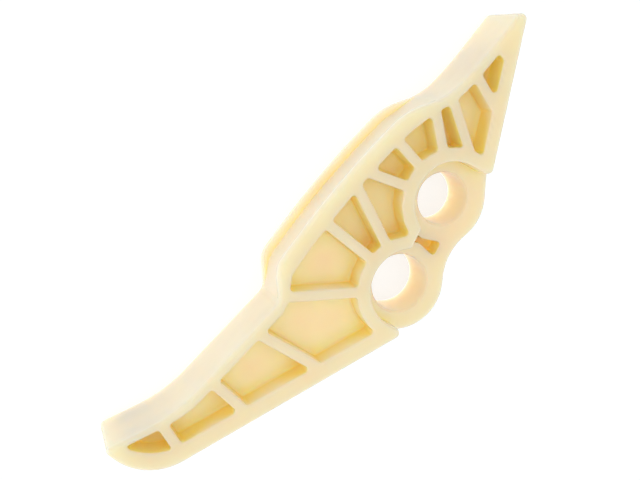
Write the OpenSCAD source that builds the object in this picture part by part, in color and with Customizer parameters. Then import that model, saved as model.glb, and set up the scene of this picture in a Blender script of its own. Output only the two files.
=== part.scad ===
// Timing chain guide, moulded in one piece: a long ribbed rail with a bolt ear on its lower edge.
// The origin is on the upper bore's axis at the ear's back face. X runs along the rail, Y to the chain.

/* [Rail] */
// Thickness of the rail, from its back face to its front face
rail_t = 14.1; // [13:0.1:16]
// Reach of the tail from the upper bore
tail_reach = 83.3; // [80:0.1:88]
// Reach of the nose from the upper bore, to the point that its tip is rounded from
nose_reach = 40.2; // [39.5:0.1:42]
// Height of both turned-up tips above the upper bore
tip_y = 18.4; // [18:0.1:19]
// Height of the crest above the upper bore
crest_y = 20.95; // [20.5:0.05:22]
// Height of the tail's running face above the upper bore
tail_y = 12.6; // [12:0.1:13.2]
// Height of the nose's running face above the upper bore
nose_y = 16.65; // [16:0.05:17.2]
// Distance from the upper bore to the middle of the step on the tail side
tail_step = 37; // [36:0.5:38.5]
// Distance from the upper bore to the middle of the step on the nose side
nose_step = 9.5; // [9:0.25:10]
// Height of the tail's lower corner above the upper bore, before it is rounded
tail_low_y = 7.1; // [6.7:0.1:7.5]
// Fall of the tail's lower edge, in degrees
tail_fall = 19; // [18.5:0.1:19.5]
// Rise of the nose's lower edge, in degrees
nose_rise = 34.6; // [34:0.1:35]

/* [Chain groove] */
// Thickness of each side wall of the groove
wall_t = 2; // [1.6:0.1:2.6]
// Depth of the groove between its side walls
groove_depth = 1.5; // [1:0.1:2]

/* [Bolt ear] */
// Distance between the two bores
bore_gap = 20; // [19.5:0.1:21]
// Tilt of the line through both bores, in degrees
bore_tilt = 17.9; // [17:0.1:19]
// Diameter of the upper bore
upper_bore_d = 11.2; // [9:0.1:12]
// Diameter of the lower bore
lower_bore_d = 12.5; // [10:0.1:13]
// Diameter of the seats for the bolt heads
seat_d = 17; // [16:0.1:17.6]
// Depth of the seats below the front face
seat_depth = 5.3; // [4.5:0.1:6]
// Wall of the ear around the upper bore
upper_wall = 4.7; // [4:0.1:5]
// Wall of the ear around the lower bore
lower_wall = 4.1; // [3.7:0.1:4.4]
// Height that the ear's back face stands proud of the rail's
ear_proud = 0.3; // [0.2:0.05:0.6]
// Depth of the small recess between the bosses
recess_depth = 4; // [2:0.1:5]

/* [Ribs] */
// Width of a rib
rib_w = 2.2; // [1.8:0.1:2.6]
// Thickness of the rim under the running faces
chain_rim = 2; // [1.6:0.1:2.4]
// Thickness of the rim along the tail's lower edge
tail_rim = 3.7; // [3.2:0.1:4]
// Thickness of the rim along the nose's lower edge
nose_rim = 3.3; // [2.9:0.1:3.7]
// Wall left around the seats
seat_wall = 2.9; // [2.6:0.1:3.2]
// Depth of the pockets on each face
pocket_depth = 5.3; // [4:0.1:6]

/* [Edges] */
// Radius of the outer edges
edge_r = 0.9; // [0.5:0.05:1]
// Radius of the edges around the seats
seat_edge = 0.5; // [0.3:0.05:0.7]
// Radius of the edges of the pockets
pocket_edge = 0.4; // [0.2:0.05:0.5]
// Radius of the corners of the pockets
pocket_r = 0.7; // [0.3:0.05:0.9]
// Chamfer at the front end of the bores
bore_chamfer = 0.4; // [0.2:0.05:0.6]

/* [Hidden] */
$fn = 64;

// Largest gap between a rounded corner and its facets
chord_gap = 0.02;
// Height that a cutter stands clear of the face it cuts
clear = 0.6;

seat_r = seat_d / 2;
ring_r = seat_r + seat_wall;
back_z = ear_proud;
front_z = back_z + rail_t;
ledge_z = front_z - seat_depth;
upper = [0, 0];
lower = -bore_gap * [cos(bore_tilt), sin(bore_tilt)];

// Vector helpers: the ray at an angle, a vector at unit length, its left-hand normal and its angle
function ray(angle) = [cos(angle), sin(angle)];
function unit(v) = v / norm(v);
function left(v) = [-v.y, v.x];
function heading(v) = atan2(v.y, v.x);
// Blends: straight from a to b, and a smooth step from 0 to 1
function mix(a, b, t) = a + (b - a) * t;
function smooth(t) = t <= 0 ? 0 : t >= 1 ? 1 : t * t * (3 - 2 * t);

// A place in the ear's frame: along the line from the lower bore to the upper one, and square to it
function ear_xy(u, v) = lower + u * ray(bore_tilt) + v * ray(bore_tilt + 90);

// The corner whose rounding by r is the arc about c from angle a to angle b
function bend(c, r, a, b) = c + r / cos((b - a) / 2) * ray((a + b) / 2);

// Where the line through p at angle a meets the line through q at angle b
function cross_point(p, a, q, b) =
    let(d = ray(a), e = left(ray(b)))
    p + d * ((q - p) * e) / (d * e);

// One corner of an outline as rows of place, inward normal and edge radius
function corner_rows(before, at, after, r, edge) =
    let(
        in_dir = unit(at - before),
        out_dir = unit(after - at),
        turn = atan2(in_dir.x * out_dir.y - in_dir.y * out_dir.x, in_dir * out_dir),
        hand = sign(turn),
        start = at - in_dir * r * tan(abs(turn) / 2),
        centre = start + left(in_dir) * hand * r,
        steps = r == 0 ? 0 : ceil(abs(turn) / (2 * acos(1 - chord_gap / r)))
    )
    r == 0
        ? [[at, unit(left(in_dir) + left(out_dir)), edge]]
        : [for (k = [0:steps])
            let(n = left(ray(heading(in_dir) + turn * k / steps)))
            [centre - hand * r * n, n, edge]];

// A closed outline from its corners, each a row of place, radius and edge radius
function outline_rows(corners) =
    let(
        n = len(corners),
        all = [for (i = [0:n - 1])
            each corner_rows(corners[(i + n - 1) % n][0], corners[i][0], corners[(i + 1) % n][0],
                corners[i][1], corners[i][2])],
        m = len(all)
    )
    [for (i = [0:m - 1]) if (norm(all[i][0] - all[(i + m - 1) % m][0]) > chord_gap / 2) all[i]];

// The outline moved inward by a share of each edge radius, and lifted by another share from a height
function level(rows, inward, lift, z) =
    [for (row = rows) concat(row[0] + row[1] * row[2] * inward, z + row[2] * lift)];

// Rounded lower and upper edges of a block, as levels of its outline, the outermost just past the face.
// The lower edges, at the back, are rounded less
edge_over = 0.07;
back_share = 0.5;
function lower_edge(rows, z) =
    [for (a = [0, 45, 90])
        level(rows, back_share * (1 - sin(a)), a == 0 ? -edge_over : back_share * (1 - cos(a)), z)];
function upper_edge(rows, z) =
    [for (a = [90, 60, 30, 0]) level(rows, 1 - sin(a), a == 0 ? edge_over : cos(a) - 1, z)];

// Triangles between two chains of indices, taken in the order of their keys
function lace(a, b, key, i = 0, j = 0) =
    let(a_ends = i == len(a) - 1, b_ends = j == len(b) - 1)
    a_ends && b_ends ? []
    : b_ends || (!a_ends && key[a[i + 1]] <= key[b[j + 1]])
        ? concat([[a[i], b[j], a[i + 1]]], lace(a, b, key, i + 1, j))
        : concat([[a[i], b[j], b[j + 1]]], lace(a, b, key, i, j + 1));

// A solid through level after level of one outline, whose first n_top points run back along its top
module loft(levels, n_top, key) {
    n = len(levels[0]);
    last = (len(levels) - 1) * n;
    cap = lace([for (i = [n_top - 1:-1:0]) i], [for (i = [n_top:n - 1]) i], key);
    sides = [for (k = [0:n:last - 1], i = [0:n - 1])
        let(j = (i + 1) % n)
        each [[k + i, k + n + i, k + n + j], [k + i, k + n + j, k + j]]];
    lid = [for (t = cap) [last + t[2], last + t[1], last + t[0]]];
    polyhedron([for (l = levels) each l], concat(cap, sides, lid));
}

// A block with rounded edges between two heights, whose faces are cut flat
module block(rows, n_top, low, high) {
    reach = tail_reach + nose_reach;
    key = [for (row = rows) row[0] * ray(bore_tilt)];
    intersection() {
        loft(concat(lower_edge(rows, low), upper_edge(rows, high)), n_top, key);
        translate([-reach, -reach, low]) cube([2 * reach, 2 * reach, high - low]);
    }
}

// The rail's outline

tail_tip_r = 1;
nose_tip_r = 1.2;
end_r = 12;
heel_r = 1.2;
tail_tip = [-tail_reach, tip_y];
tail_foot = [-tail_reach, tail_low_y];
nose_tip = [nose_reach, tip_y];
end_centre = tail_foot + end_r * [1, tan((90 - tail_fall) / 2)];
heel = cross_point(tail_foot, -tail_fall, ear_xy(-seat_r, 0), bore_tilt + 90);
toe = cross_point(nose_tip, nose_rise, ear_xy(bore_gap + seat_r, 0), bore_tilt + 90);

// The running faces and the crest, from the nose to the tail
tail_slope = 2.4;
nose_slope = 4;
nose_flat = 12.5;
tail_curl = 14;
crest_fall = 2.6;
crest_bulge = 1.5;
crest_r = 200;
crest_nose_r = 15;
crest_tail_r = 5;
nose_step_r = 16;
tail_step_r = 3;
nose_curl_r = 80;
tail_curl_r = 30;
crest_nose = [nose_step - nose_slope, crest_y];
crest_tail = [-tail_step + tail_slope, crest_y - crest_fall];
crest_top = (crest_nose + crest_tail) / 2 + [0, crest_bulge];
chain_corners = [
    [[nose_step + nose_flat, nose_y], nose_curl_r, edge_r],
    [[nose_step + nose_slope, nose_y], nose_step_r, edge_r],
    [crest_nose, crest_nose_r, edge_r],
    [crest_top, crest_r, edge_r],
    [crest_tail, crest_tail_r, edge_r],
    [[-tail_step - tail_slope, tail_y], tail_step_r, edge_r],
    [[-tail_reach + tail_curl, tail_y], tail_curl_r, edge_r]
];

// The seats open to the lower edge: two arcs with a short wall between them
seat_lean = 30;
seat_lead = 0.5;
seat_corner_r = 0.9;
seat_wall_v = seat_r * sin(seat_lean) - seat_lead;
seat_wall_u = seat_r * cos(seat_lean) + seat_lead * tan(seat_lean);
// Corners of one seat in the ear's frame, from its open side to the short wall
seat_uv = [
    [[-seat_r, seat_r], seat_r],
    [bend([0, 0], seat_r, 90, seat_lean), seat_r],
    [[seat_wall_u, seat_wall_v], seat_corner_r]
];
lower_seat = [for (c = seat_uv) [ear_xy(c[0].x, c[0].y), c[1], seat_edge]];
upper_seat = [for (i = [2:-1:0])
    let(c = seat_uv[i])
    [ear_xy(bore_gap - c[0].x, c[0].y), c[1], seat_edge]];

rail_rows = outline_rows(concat(
    [[nose_tip, nose_tip_r, edge_r]],
    chain_corners,
    [[tail_tip, tail_tip_r, edge_r], [tail_foot, end_r, edge_r], [heel, heel_r, edge_r]],
    lower_seat,
    upper_seat,
    [[toe, heel_r, edge_r]]
));
// The outline's first points, down to the tail's end, run along its top
top_y = tail_y - 1.5;
rail_top = len([for (row = rail_rows) if (row[0].y > top_y) row]);

module rail() {
    block(rail_rows, rail_top, back_z, front_z);
}

// The bolt ear: a boss about each bore, a hollow between them and a straight side to the nose

upper_boss_r = upper_bore_d / 2 + upper_wall;
lower_boss_r = lower_bore_d / 2 + lower_wall;
hollow_r = 12;
hollow_u = (pow(lower_boss_r + hollow_r, 2) - pow(upper_boss_r + hollow_r, 2) + bore_gap * bore_gap)
    / (2 * bore_gap);
hollow_v = -sqrt(pow(lower_boss_r + hollow_r, 2) - hollow_u * hollow_u);
hollow = [hollow_u, hollow_v];
lower_tangent = heading(hollow);
upper_tangent = heading(hollow - [bore_gap, 0]);
ear_side = 26;
ear_side_run = 8;
ear_side_start = [bore_gap, 0] + upper_boss_r * ray(ear_side - 90);
// Corners in the ear's frame, first the two that lie inside the rail
ear_uv = [
    [[bore_gap + upper_boss_r, lower_boss_r], upper_boss_r],
    [[-lower_boss_r, lower_boss_r], lower_boss_r],
    [[-lower_boss_r, -lower_boss_r], lower_boss_r],
    [bend([0, 0], lower_boss_r, -90, lower_tangent), lower_boss_r],
    [bend(hollow, hollow_r, lower_tangent + 180, upper_tangent + 180), hollow_r],
    [bend([bore_gap, 0], upper_boss_r, upper_tangent, ear_side - 90), upper_boss_r],
    [ear_side_start + ear_side_run * ray(ear_side), 3]
];
ear_rows = outline_rows([for (c = ear_uv) [ear_xy(c[0].x, c[0].y), c[1], edge_r]]);
ear_top = len([for (row = ear_rows) if ((row[0] - lower) * ray(bore_tilt + 90) > 0) row]);

module ear() {
    block(ear_rows, ear_top, 0, ledge_z);
}

// The groove along the crest, which fades out on both steps

groove_ends = [-tail_step - 2, nose_step + 2.5];
groove_fades = [5, 6.5];
function groove_share(x) =
    smooth((x - groove_ends[0]) / groove_fades[0]) * smooth((groove_ends[1] - x) / groove_fades[1]);

groove_run = 4;
groove_rows = [for (row = rail_rows)
    let(x = row[0].x)
    if (x > -tail_step - groove_run && x < nose_step + groove_run && row[0].y > top_y && row[1].y < 0) row];
groove_lip = 0.4;
groove_lift = 0.15;
skin = 0.01;

// One section of the groove: down its near side, across the floor and up its far side
function groove_section(row) =
    let(
        share = groove_share(row[0].x),
        lift = share > 0 ? 0 : groove_lift,
        lip = groove_lip * share,
        near = [[-2 * clear, wall_t - lip], [-lift, wall_t - lip], [lip - lift, wall_t],
            [max(groove_depth * share, lip) - lift + skin, wall_t]]
    )
    [for (s = concat(near, [for (i = [3:-1:0]) [near[i][0], rail_t - near[i][1]]]))
        concat(row[0] + row[1] * s[0], back_z + s[1])];

module groove() {
    loft([for (row = groove_rows) groove_section(row)], 4, [3, 2, 1, 0, 0, 1, 2, 3]);
}

// The pockets between the ribs

// Thickness of the chain rim, which grows under the groove and thins out towards the tail's end
tail_thinning = 0.6;
tail_thin_from = tail_reach - 17;
tail_thin_run = 8;
function rim_t(x) =
    let(thinned = smooth((-x - tail_thin_from) / tail_thin_run))
    chain_rim + groove_depth * groove_share(x) - tail_thinning * thinned;

// Points along the underside of the chain rim, from tail to nose
rim_rows = outline_rows(concat([[nose_tip, 0, 0]], chain_corners, [[tail_tip, 0, 0], [tail_foot, 0, 0]]));
rim_first = len(rim_rows) - 3;
rim_table = concat(
    [tail_tip + rim_rows[rim_first][1] * rim_t(tail_tip.x)],
    [for (i = [rim_first:-1:1]) rim_rows[i][0] + rim_rows[i][1] * rim_t(rim_rows[i][0].x)],
    [nose_tip + rim_rows[1][1] * rim_t(nose_tip.x)]
);
function rim_y(x) = lookup(x, rim_table);

// The inner lines of the lower rims
end_rim = tail_rim - 0.3;
tail_inner = tail_foot + tail_rim * ray(90 - tail_fall);
nose_inner = nose_tip + nose_rim * ray(90 + nose_rise);
function over_line(p, q, angle) = (p - q) * left(ray(angle)) >= 0;

// Is the place inside the rims and clear of the seats' walls?
function in_field(p) =
    p.y <= rim_y(p.x)
    && over_line(p, tail_inner, -tail_fall)
    && over_line(p, nose_inner, nose_rise)
    && norm(p - upper) >= ring_r
    && norm(p - lower) >= ring_r
    && (p.x > end_centre.x || p.y > end_centre.y || norm(p - end_centre) <= end_r - end_rim);

// The last place inside the field on the way from p, by halving
function last_inside(p, d, near = 0, far = 40, n = 24) =
    n == 0 ? p + d * near
    : in_field(p + d * (near + far) / 2)
        ? last_inside(p, d, (near + far) / 2, far, n - 1)
        : last_inside(p, d, near, (near + far) / 2, n - 1);

// Ribs as rows of a place in the field, an angle and half a width: some hang from the chain rim, the others
// stand on a seat's wall, and the first and last have no width and close the end pockets
rim_drop = 0.9;
ring_lift = 1.5;
function rim_rib(x, angle, w = rib_w) = [[x, rim_y(x) - rim_drop], angle, w / 2];
function bore_rib(bore, angle) = [bore + (ring_r + ring_lift) * ray(angle), angle, rib_w / 2];
ribs = [
    rim_rib(-tail_reach + end_rim + 0.1, 90, 0),
    rim_rib(-tail_reach + 10.6, 76),
    rim_rib(-tail_reach + 23.5, 90),
    rim_rib(-tail_step - 9.3, 102),
    bore_rib(lower, 135),
    bore_rib(lower, 96.3),
    bore_rib(lower, 74),
    bore_rib(upper, 115.5),
    bore_rib(upper, 90),
    bore_rib(upper, 59.4),
    rim_rib(nose_step + 3.9, 67.8),
    rim_rib(nose_step + 11.2, 81),
    rim_rib(nose_step + 17.9, 90, 0)
];

// Points of an arc about c between two places, without its ends
function arc_between(c, p, q, n) =
    let(a = heading(p - c), sweep = (heading(q - c) - a + 540) % 360 - 180)
    [for (k = [1:1:n - 1]) c + mix(norm(p - c), norm(q - c), k / n) * ray(a + sweep * k / n)];

// The foot of the wall between the seats, and where the lower rims run into the seats' walls
ring_meet = ear_xy(bore_gap / 2, sqrt(ring_r * ring_r - bore_gap * bore_gap / 4));
function line_meets_ring(q, angle, c, hand) =
    let(off = (q - c) * left(ray(angle)))
    c + off * left(ray(angle)) + hand * sqrt(ring_r * ring_r - off * off) * ray(angle);
tail_meet = line_meets_ring(tail_inner, -tail_fall, lower, -1);
nose_meet = line_meets_ring(nose_inner, nose_rise, upper, 1);

// The lower side of a pocket from p to q, without its ends; the end pocket's is flatter than the tail's end
flat_centre = end_centre + [3, 3];
function floor_stops(i, p, q) =
    i == 0 ? arc_between(flat_centre, p, q, 6)
    : i == 3 ? concat([tail_meet], arc_between(lower, tail_meet, q, 4))
    : i == 4 || i == 5 ? arc_between(lower, p, q, 2)
    : i == 6 ? concat([ring_meet], arc_between(upper, ring_meet, q, 3))
    : i >= 7 && i <= 9 ? arc_between(upper, p, q, 2)
    : i == 10 ? [nose_meet]
    : [];

// The upper side of a pocket from p back to q, without its ends
roof_run = 3.2;
function roof_stops(p, q) =
    let(n = ceil((p.x - q.x) / roof_run))
    [for (k = [1:1:n - 1]) let(x = mix(p.x, q.x, k / n)) [x, rim_y(x)]];

// Radius that fits a corner between its neighbours, or none where the path hardly turns
least_turn = 20;
corner_share = 0.45;
function fit_r(before, at, after, r) =
    let(
        turn = acos(unit(at - before) * unit(after - at)),
        room = corner_share * min(norm(at - before), norm(after - at))
    )
    turn < least_turn ? 0 : min(r, room / tan(turn / 2));

// The four ends of the ribs beside pocket i, from the roof at the nose side round to the floor there
function pocket_ends(i) =
    let(
        a = ribs[i],
        b = ribs[i + 1],
        pa = a[0] - a[2] * left(ray(a[1])),
        pb = b[0] + b[2] * left(ray(b[1]))
    )
    [for (way = [[pb, b[1]], [pa, a[1]], [pa, a[1] + 180], [pb, b[1] + 180]])
        last_inside(way[0], ray(way[1]))];

// The path round pocket i: back along its roof, then forward along its lower side
function pocket_path(i) =
    let(e = pocket_ends(i))
    concat([e[0]], roof_stops(e[0], e[1]), [e[1], e[2]], floor_stops(i, e[2], e[3]), [e[3]]);

// The radii of a path's corners, its rounded outline, and a fillet that fits round its foot
foot_share = 0.85;
function fit_radii(path) =
    let(n = len(path))
    [for (k = [0:n - 1]) fit_r(path[(k + n - 1) % n], path[k], path[(k + 1) % n], pocket_r)];
function rounded_rows(path, edge) =
    let(radii = fit_radii(path))
    outline_rows([for (k = [0:len(path) - 1]) [path[k], radii[k], edge]]);
function foot_r(path) = foot_share * min([for (r = fit_radii(path)) if (r > 0) r]);

// A cutter with a filleted foot and a rounded mouth, from its floor up through the face it opens in
module recess(rows, n_top, key, depth, foot) {
    base = [for (a = [0, 45, 90])
        [for (row = rows) concat(row[0] + row[1] * foot * (1 - sin(a)), foot * (1 - cos(a)) - depth)]];
    mouth = [for (a = [90, 45, 0]) level(rows, sin(a) - 1, cos(a) - 1, 0)];
    air = [for (row = rows) concat(row[0] - row[1] * row[2], clear)];
    loft(concat(base, mouth, [air]), n_top, key);
}

module pocket(i) {
    path = pocket_path(i);
    rows = rounded_rows(path, pocket_edge);
    e = pocket_ends(i);
    // The roof's points lie above the line through the middles of both sides
    mid = (e[1] + e[2]) / 2;
    across = unit((e[0] + e[3]) / 2 - mid);
    n_top = len([for (row = rows) if ((row[0] - mid) * left(across) > 0) row]);
    recess(rows, n_top, [for (row = rows) row[0] * across], pocket_depth, foot_r(path));
}

module pockets() {
    for (i = [0:len(ribs) - 2]) pocket(i);
}

// The small recess between the bosses, bounded by arcs about both bores
recess_r = 9.4;
recess_mid = 0.5;
recess_v = [seat_wall_v - seat_lead, -4.4];
function recess_u(v) = sqrt(recess_r * recess_r - v * v);
recess_stops = [for (v = [recess_v[0], 0, recess_v[1]]) [recess_u(v), v]];
recess_path = concat(
    [for (s = [recess_stops[0]]) ear_xy(bore_gap - s.x, s.y)],
    [for (s = recess_stops) ear_xy(s.x, s.y)],
    [for (i = [2, 1]) ear_xy(bore_gap - recess_stops[i].x, recess_stops[i].y)]
);

module boss_recess() {
    rows = rounded_rows(recess_path, pocket_edge / 2);
    n_top = len([for (row = rows) if ((row[0] - lower) * ray(bore_tilt + 90) > recess_mid) row]);
    key = [for (row = rows) row[0] * ray(bore_tilt)];
    translate([0, 0, ledge_z]) recess(rows, n_top, key, recess_depth, foot_r(recess_path) / 2);
}

// A through bore, chamfered where it meets the seat
module bore(at, d) {
    translate(concat(at, -clear)) cylinder(d = d, h = ledge_z + 2 * clear);
    translate(concat(at, ledge_z - bore_chamfer))
        cylinder(d1 = d, d2 = d + 4 * bore_chamfer, h = 2 * bore_chamfer);
}

module chain_guide() {
    color("#F0DFBC")
    difference() {
        union() {
            rail();
            ear();
        }
        groove();
        translate([0, 0, front_z]) pockets();
        translate([0, 0, back_z]) mirror([0, 0, 1]) pockets();
        boss_recess();
        bore(upper, upper_bore_d);
        bore(lower, lower_bore_d);
    }
}

chain_guide();
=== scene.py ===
# %% [markdown]
# # A timing chain guide in natural nylon
# The guide is a single injection moulding: a ribbed rail that an engine's timing chain slides along,
# with an ear for two bolts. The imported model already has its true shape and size, so this lesson is
# about what turns a solid into a picture of a part: smooth shading, a material with depth, soft light
# and the right camera.

# %% Load the frame
import math

import bmesh
import bpy
from mathutils import Matrix, Vector


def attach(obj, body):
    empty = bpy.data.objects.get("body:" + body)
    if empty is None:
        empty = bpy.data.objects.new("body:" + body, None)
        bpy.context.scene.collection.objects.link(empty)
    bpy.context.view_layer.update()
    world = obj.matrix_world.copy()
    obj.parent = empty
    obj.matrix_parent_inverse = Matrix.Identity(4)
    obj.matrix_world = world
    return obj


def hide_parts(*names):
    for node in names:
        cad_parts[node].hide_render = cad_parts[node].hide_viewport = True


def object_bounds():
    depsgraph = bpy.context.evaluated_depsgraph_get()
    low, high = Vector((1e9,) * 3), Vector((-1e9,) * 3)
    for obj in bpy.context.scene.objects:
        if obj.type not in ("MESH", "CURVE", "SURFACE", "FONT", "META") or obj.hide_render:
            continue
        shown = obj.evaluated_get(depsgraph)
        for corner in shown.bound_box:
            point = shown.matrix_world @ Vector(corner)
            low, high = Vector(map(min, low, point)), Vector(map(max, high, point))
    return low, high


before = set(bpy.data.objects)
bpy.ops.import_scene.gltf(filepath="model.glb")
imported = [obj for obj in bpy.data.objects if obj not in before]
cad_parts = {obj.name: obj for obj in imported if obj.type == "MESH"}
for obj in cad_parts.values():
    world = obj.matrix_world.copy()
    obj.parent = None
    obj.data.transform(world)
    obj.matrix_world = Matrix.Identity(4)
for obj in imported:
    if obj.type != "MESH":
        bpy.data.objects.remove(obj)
cad_low, cad_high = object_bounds()
MM = 0.001
size_mm = [round(side / MM, 1) for side in cad_high - cad_low]
print("the moulding measures", size_mm, "mm")

# %% [markdown]
# The frame's mesh comes as loose triangles with stored normals, so Blender would shade every facet by
# itself. A copy with its doubles merged and its stored normals dropped can be shaded smooth. Edges that
# turn sharply, such as those where the bores meet the back face, stay sharp, and the Weighted Normal
# modifier lets the large flat faces keep their own normals, so that only the rounded edges roll off.

# %% Merge a copy of the moulding and shade it smooth
MERGE_GAP = 0.002 * MM
SHARP_TURN = math.radians(50)


def merged_copy(node, name):
    """A new object with the shape of a CAD node, its doubles merged and its rounded edges smooth."""
    bm = bmesh.new()
    bm.from_mesh(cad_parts[node].data)
    bmesh.ops.remove_doubles(bm, verts=bm.verts, dist=MERGE_GAP)
    for face in bm.faces:
        face.smooth = True
    for edge in bm.edges:
        edge.smooth = edge.calc_face_angle() < SHARP_TURN
    mesh = bpy.data.meshes.new(name)
    bm.to_mesh(mesh)
    bm.free()
    mesh.attributes.remove(mesh.attributes["custom_normal"])
    piece = bpy.data.objects.new(name, mesh)
    bpy.context.scene.collection.objects.link(piece)
    return piece


moulding = merged_copy("chain_guide", "moulded_guide")
normals = moulding.modifiers.new("flat faces first", "WEIGHTED_NORMAL")
normals.keep_sharp = True
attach(moulding, "root")
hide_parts("chain_guide")
print("the moulding has", len(moulding.data.polygons), "faces")

# %% [markdown]
# Colours are written as sRGB hex values, as a picture editor shows them, but Blender's sockets want
# linear light. One function turns one into the other. A second one adds a node with its settings and
# links, so that a material reads as a list of steps.

# %% Colour and node helpers


def linear(hex_colour):
    """An sRGB hex colour as linear red, green, blue and an alpha of 1."""
    channels = [int(hex_colour[i:i + 2], 16) / 255 for i in (1, 3, 5)]
    return [c / 12.92 if c <= 0.04045 else ((c + 0.055) / 1.055) ** 2.4 for c in channels] + [1.0]


def add_node(tree, kind, inputs=None, **settings):
    """Adds a node. A value among its inputs is set, and an output socket is linked."""
    node = tree.nodes.new(kind)
    for name, value in settings.items():
        setattr(node, name, value)
    for name, value in (inputs or {}).items():
        if isinstance(value, bpy.types.NodeSocket):
            tree.links.new(value, node.inputs[name])
        else:
            node.inputs[name].default_value = value
    return node


def new_tree(name):
    """A new material of that name, and its empty node tree."""
    material = bpy.data.materials.new(name)
    material.use_nodes = True
    material.node_tree.nodes.clear()
    return material, material.node_tree


print("a mid cream in linear light is", [round(c, 3) for c in linear("#EBDCBC")])

# %% [markdown]
# Natural nylon is undyed polyamide, and it is milky: light goes in, scatters for some millimetres and
# comes out softer and yellower, because blue is lost on the way. Open faces look cream, while pockets get
# most of their light through the plastic around them and turn honey and amber. That honey and amber is
# light and shade, and here it is painted into the colour, so the material has to know how enclosed a place
# is. A painted map could say so, but the Ambient Occlusion node measures it on the shape itself, here
# against the moulding alone. The chain groove is shallow and stays pale, so what lies above a sloping line
# is left out of the painted shade, except in the tail, whose last pocket reaches across that line.

# %% How enclosed a place is
POCKET_REACH = 6 * MM
POCKET_RAYS = 16
POCKET_START, POCKET_FULL = 0.94, 0.45
NARROW_START, NARROW_FULL = 0.5, 0.2
CREST_LINE = 18.2 * MM
CREST_BLEND = 0.5 * MM
CREST_SLOPE = 0.065
TAIL_LINE = -58 * MM


# These masks place the painted pocket shade: honey and amber where a place is enclosed.
def pocket_shade_masks(tree, place):
    """Masks for the painted pocket shade, from 0 to 1: how far a place lies in a pocket, and how far in a
    narrow one.
    """
    open_sky = add_node(
        tree, "ShaderNodeAmbientOcclusion", {"Distance": POCKET_REACH},
        samples=POCKET_RAYS, only_local=True,
    ).outputs["AO"]
    pocket = add_node(
        tree, "ShaderNodeMapRange",
        {"Value": open_sky, "From Min": POCKET_START, "From Max": POCKET_FULL},
    )
    narrow = add_node(
        tree, "ShaderNodeMapRange",
        {"Value": open_sky, "From Min": NARROW_START, "From Max": NARROW_FULL},
    )
    rise = add_node(
        tree, "ShaderNodeVectorMath", {0: place, 1: (-CREST_SLOPE, 1, 0)}, operation="DOT_PRODUCT"
    )
    below_crest = add_node(
        tree, "ShaderNodeMapRange",
        {
            "Value": rise.outputs["Value"],
            "From Min": CREST_LINE + CREST_BLEND, "From Max": CREST_LINE - CREST_BLEND,
        },
    )
    along = add_node(tree, "ShaderNodeSeparateXYZ", {"Vector": place}).outputs["X"]
    in_tail = add_node(
        tree, "ShaderNodeMapRange",
        {"Value": along, "From Min": TAIL_LINE + CREST_BLEND, "From Max": TAIL_LINE - CREST_BLEND},
    )
    counted = add_node(
        tree, "ShaderNodeMath",
        {0: below_crest.outputs["Result"], 1: in_tail.outputs["Result"]}, operation="MAXIMUM",
    )
    depth = add_node(
        tree, "ShaderNodeMath",
        {0: pocket.outputs["Result"], 1: counted.outputs[0]}, operation="MULTIPLY",
    )
    return depth.outputs[0], narrow.outputs["Result"]


print("a place counts as enclosed within", POCKET_REACH / MM, "mm")

# %% [markdown]
# Five tones make the colour. Outside, the front and back faces are cream, and the upright sides are a
# little paler, a painted sheen. Inside the pockets the tones are painted light and shade: floors are honey,
# walls are amber, and the narrowest pockets have one tone for both. The surface normal tells a floor from a
# wall.
# Over all of it lies a slow, faint pattern, such as the melt leaves when it flows into the mould.

# %% Cream outside, painted honey and amber shade inside
FACE_TONE = "#FCDFBA"
# Painted sheen: the upright sides are paler because a gloss whitens them at a grazing view, not because the
# nylon differs there.
PAINTED_SIDE_SHEEN = "#FBE4C9"
# Painted light and shade: the pocket floor, wall and narrow tones stand in for the light that reaches the
# pockets through the plastic.
PAINTED_FLOOR_SHADE = "#FDEFC0"
PAINTED_WALL_SHADE = "#FFDF8B"
PAINTED_NARROW_SHADE = "#FFE2A2"
WALL_TILT, FLOOR_TILT = 0.3, 0.8
FLOW_SIZE = 14 * MM
FLOW_DETAIL = 3
FLOW_DARK, FLOW_LIGHT = 0.96, 1.03
NOISE_LOW, NOISE_HIGH = 0.3, 0.7


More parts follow.
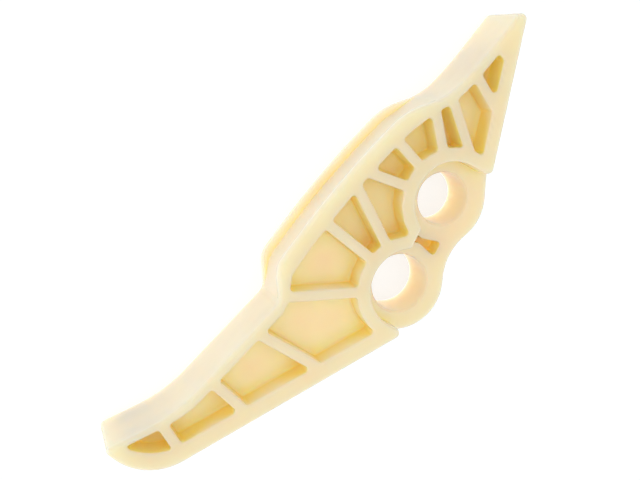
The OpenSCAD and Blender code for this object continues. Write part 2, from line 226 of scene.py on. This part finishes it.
def nylon_colour(tree, coords):
    """The colour of the moulding at each place, with its painted pocket shade and side sheen, as an output.
    """
    depth, narrow = pocket_shade_masks(tree, coords["Object"])
    facing = add_node(tree, "ShaderNodeSeparateXYZ", {"Vector": coords["Normal"]})
    level = add_node(tree, "ShaderNodeMath", {0: facing.outputs["Z"]}, operation="ABSOLUTE")
    flat = add_node(
        tree, "ShaderNodeMapRange",
        {"Value": level.outputs[0], "From Min": WALL_TILT, "From Max": FLOOR_TILT},
    ).outputs["Result"]
    # Painted sheen: the upright sides take the paler tone, the front and back faces the cream.
    outside = add_node(
        tree, "ShaderNodeMixRGB", {"Fac": flat, "Color1": linear(PAINTED_SIDE_SHEEN), "Color2": linear(FACE_TONE)}
    )
    wide = add_node(
        tree, "ShaderNodeMixRGB", {"Fac": flat, "Color1": linear(PAINTED_WALL_SHADE), "Color2": linear(PAINTED_FLOOR_SHADE)}
    )
    inside = add_node(
        tree, "ShaderNodeMixRGB",
        {"Fac": narrow, "Color1": wide.outputs["Color"], "Color2": linear(PAINTED_NARROW_SHADE)},
    )
    # Painted shade: the deeper a place lies in a pocket, the more it takes of the painted floor, wall and
    # narrow tones.
    tone = add_node(
        tree, "ShaderNodeMixRGB",
        {"Fac": depth, "Color1": outside.outputs["Color"], "Color2": inside.outputs["Color"]},
    )
    flow = add_node(
        tree, "ShaderNodeTexNoise",
        {"Vector": coords["Object"], "Scale": 1 / FLOW_SIZE, "Detail": FLOW_DETAIL},
    )
    shade = add_node(
        tree, "ShaderNodeMapRange",
        {
            "Value": flow.outputs["Fac"], "From Min": NOISE_LOW, "From Max": NOISE_HIGH,
            "To Min": FLOW_DARK, "To Max": FLOW_LIGHT,
        },
    )
    return add_node(
        tree, "ShaderNodeVectorMath",
        {0: tone.outputs["Color"], "Scale": shade.outputs["Result"]}, operation="SCALE",
    ).outputs["Vector"]


print("the flow pattern repeats about every", FLOW_SIZE / MM, "mm")

# %% [markdown]
# The mould was polished, so the nylon is satin to the eye: it has sharp small glints, broken up by a faint
# waviness of the skin. One noise drives both roughness and bump. The real waves are finer, and 1.5 mm is
# what still shows in the picture. Below the skin the Principled shader scatters the light, red the
# furthest, which softens every edge. A plain diffuse colour would be faster, but would look like chalk.
# Nylon's index of refraction is 1.53.

# %% Natural nylon, injection moulded
WAVE_SIZE = 1.5 * MM
WAVE_DETAIL = 2
WAVE_HEIGHT = 0.01 * MM
SATIN_LOW, SATIN_HIGH = 0.22, 0.265
SCATTER_DEPTH = 9 * MM
RED_GREEN_BLUE_SHARE = (1.0, 0.75, 0.5)
NYLON_IOR = 1.53


def nylon():
    """Undyed moulded polyamide: cream where it is open, painted amber shade where it is enclosed, satin all
    over.
    """
    material, tree = new_tree("natural nylon, moulded")
    coords = add_node(tree, "ShaderNodeTexCoord").outputs
    wave = add_node(
        tree, "ShaderNodeTexNoise",
        {"Vector": coords["Object"], "Scale": 1 / WAVE_SIZE, "Detail": WAVE_DETAIL},
    ).outputs["Fac"]
    satin = add_node(
        tree, "ShaderNodeMapRange",
        {
            "Value": wave, "From Min": NOISE_LOW, "From Max": NOISE_HIGH,
            "To Min": SATIN_LOW, "To Max": SATIN_HIGH,
        },
    )
    skin = add_node(tree, "ShaderNodeBump", {"Height": wave, "Distance": WAVE_HEIGHT})
    surface = add_node(
        tree, "ShaderNodeBsdfPrincipled",
        {
            "Base Color": nylon_colour(tree, coords),
            "Roughness": satin.outputs["Result"],
            "Normal": skin.outputs["Normal"],
            "IOR": NYLON_IOR,
            "Subsurface Weight": 1.0,
            "Subsurface Radius": RED_GREEN_BLUE_SHARE,
            "Subsurface Scale": SCATTER_DEPTH,
        },
    )
    add_node(tree, "ShaderNodeOutputMaterial", {"Surface": surface.outputs["BSDF"]})
    return material


moulding.data.materials.clear()
moulding.data.materials.append(nylon())
print("the moulding is", moulding.data.materials[0].name)

# %% [markdown]
# The part lies on a white table that glows a little, as small translucent parts are often photographed.
# Light Path splits the table's material in two. Rays that are seen, by the camera or in a gloss, meet a
# white that darkens slightly where the part keeps light away, so a faint shadow stays. Its glow is a touch
# cool, to balance the warm light that the nylon sheds on it. All other rays meet the table as a light:
# matt paper with a gentle glow, stronger under the part, where it comes up through the thin pocket floors.

# %% A white table that glows
TABLE_SIDE = 4.0
TABLE_GLOW = 0.4
UNDER_GLOW = 0.7
UNDER_REACH = 8 * MM
UNDER_RAYS = 8
PAPER_TONE = "#E8E8E8"
SEEN_GLOW = 0.62
SEEN_TONE = "#F6FDFF"
SHADE_TONE = "#B8B8B8"


def seen(tree):
    """An output that is 1 for rays that show the background: from the camera, or through gloss or glass."""
    rays = add_node(tree, "ShaderNodeLightPath").outputs
    either = add_node(
        tree, "ShaderNodeMath", {0: rays["Is Camera Ray"], 1: rays["Is Glossy Ray"]}, operation="MAXIMUM"
    )
    return add_node(
        tree, "ShaderNodeMath", {0: either.outputs[0], 1: rays["Is Transmission Ray"]}, operation="MAXIMUM"
    ).outputs[0]


def table_white():
    """A table that looks white, keeps the part's faint shadow and lights the part from below."""
    material, tree = new_tree("white paper on a light table")
    paper = add_node(tree, "ShaderNodeBsdfDiffuse", {"Color": linear(PAPER_TONE)})
    covered = add_node(
        tree, "ShaderNodeAmbientOcclusion", {"Distance": UNDER_REACH}, samples=UNDER_RAYS
    )
    panel = add_node(
        tree, "ShaderNodeMapRange",
        {"Value": covered.outputs["AO"], "To Min": UNDER_GLOW, "To Max": TABLE_GLOW},
    )
    light = add_node(tree, "ShaderNodeEmission", {"Strength": panel.outputs["Result"]})
    lit = add_node(tree, "ShaderNodeAddShader", {0: paper.outputs[0], 1: light.outputs[0]})
    shaded = add_node(tree, "ShaderNodeBsdfDiffuse", {"Color": linear(SHADE_TONE)})
    glow = add_node(tree, "ShaderNodeEmission", {"Color": linear(SEEN_TONE), "Strength": SEEN_GLOW})
    white = add_node(tree, "ShaderNodeAddShader", {0: shaded.outputs[0], 1: glow.outputs[0]})
    surface = add_node(
        tree, "ShaderNodeMixShader", {0: seen(tree), 1: lit.outputs[0], 2: white.outputs[0]}
    )
    add_node(tree, "ShaderNodeOutputMaterial", {"Surface": surface.outputs[0]})
    return material


bm = bmesh.new()
bmesh.ops.create_grid(bm, x_segments=1, y_segments=1, size=TABLE_SIDE / 2)
bmesh.ops.translate(bm, verts=bm.verts, vec=(0, 0, cad_low.z))
table_mesh = bpy.data.meshes.new("table")
bm.to_mesh(table_mesh)
bm.free()
table_mesh.materials.append(table_white())
table = bpy.data.objects.new("table", table_mesh)
bpy.context.scene.collection.objects.link(table)
print("the table lies at", round(cad_low.z / MM, 2), "mm")

# %% [markdown]
# A light tent gives soft light from all round. It could be a dome of lamps, but the world does the same
# with less noise. It is brighter overhead than near the table, whose own white lights the upright sides,
# so that front and sides come out about equally light. Seen rays meet plain white.

# %% A light tent
TENT_TOP = 1.26
TENT_RIM = 0.2

tent = bpy.data.worlds.new("light tent")
bpy.context.scene.world = tent
tent.use_nodes = True
tree = tent.node_tree
tree.nodes.clear()
way = add_node(tree, "ShaderNodeTexCoord").outputs["Generated"]
height = add_node(tree, "ShaderNodeSeparateXYZ", {"Vector": way}).outputs["Z"]
cloth = add_node(tree, "ShaderNodeMapRange", {"Value": height, "To Min": TENT_RIM, "To Max": TENT_TOP})
level = add_node(
    tree, "ShaderNodeMapRange",
    {"Value": seen(tree), "To Min": cloth.outputs["Result"], "To Max": 1.0},
)
dome = add_node(
    tree, "ShaderNodeBackground", {"Color": linear("#FFFFFF"), "Strength": level.outputs["Result"]}
)
add_node(tree, "ShaderNodeOutputWorld", {"Surface": dome.outputs[0]})
print("the tent goes from", TENT_RIM, "at the table to", TENT_TOP, "overhead")

# %% [markdown]
# One small lamp stands low beyond the tail. It adds little light, but it draws the thin glints along the
# groove's edge and round the step, which tell the eye that the nylon is satin and not chalky.

# %% A lamp beyond the tail
LAMP_PLACE = Vector((-420, 260, 150)) * MM
LAMP_SIDE = 0.06
LAMP_WATTS = 0.3

centre = (cad_low + cad_high) / 2
light = bpy.data.lights.new("side lamp", "AREA")
light.size = LAMP_SIDE
light.energy = LAMP_WATTS
lamp = bpy.data.objects.new("side lamp", light)
lamp.location = LAMP_PLACE
lamp.rotation_euler = (centre - LAMP_PLACE).to_track_quat("-Z", "Y").to_euler()
bpy.context.scene.collection.objects.link(lamp)
print("the lamp stands", round((LAMP_PLACE - centre).length, 2), "m away")

# %% [markdown]
# The camera was worked out from the photo: where it stood, the point on the front face that it aimed at,
# and the direction along the part that runs up the picture. The lens comes from the focal length in
# pixels and the picture's width of 640 pixels.

# %% Camera
CAMERA_PLACE = Vector((-37.54, 79.93, 179.42)) * MM
CAMERA_AIM = Vector((-24.92, 15.81, 14.4)) * MM
PICTURE_UP = math.radians(46.11)
FOCAL_PIXELS = 900
PICTURE_WIDTH = 640
SENSOR_WIDTH = 36
CLIP_NEAR = 10 * MM

lens = bpy.data.cameras.new("camera")
lens.sensor_width = SENSOR_WIDTH
lens.lens = FOCAL_PIXELS / PICTURE_WIDTH * SENSOR_WIDTH
lens.clip_start = CLIP_NEAR
camera = bpy.data.objects.new("camera", lens)
bpy.context.scene.collection.objects.link(camera)
back = (CAMERA_PLACE - CAMERA_AIM).normalized()
right = Vector((math.cos(PICTURE_UP), math.sin(PICTURE_UP), 0)).cross(back).normalized()
up = back.cross(right)
turn = Matrix((right, up, back)).transposed().to_4x4()
camera.matrix_world = Matrix.Translation(CAMERA_PLACE) @ turn
bpy.context.scene.camera = camera
print("the camera stands", round((CAMERA_PLACE - CAMERA_AIM).length / MM), "mm from the part")

# %% [markdown]
# The Standard view shows a colour about as it is written.

# %% View
bpy.context.scene.view_settings.view_transform = "Standard"
bpy.context.view_layer.update()
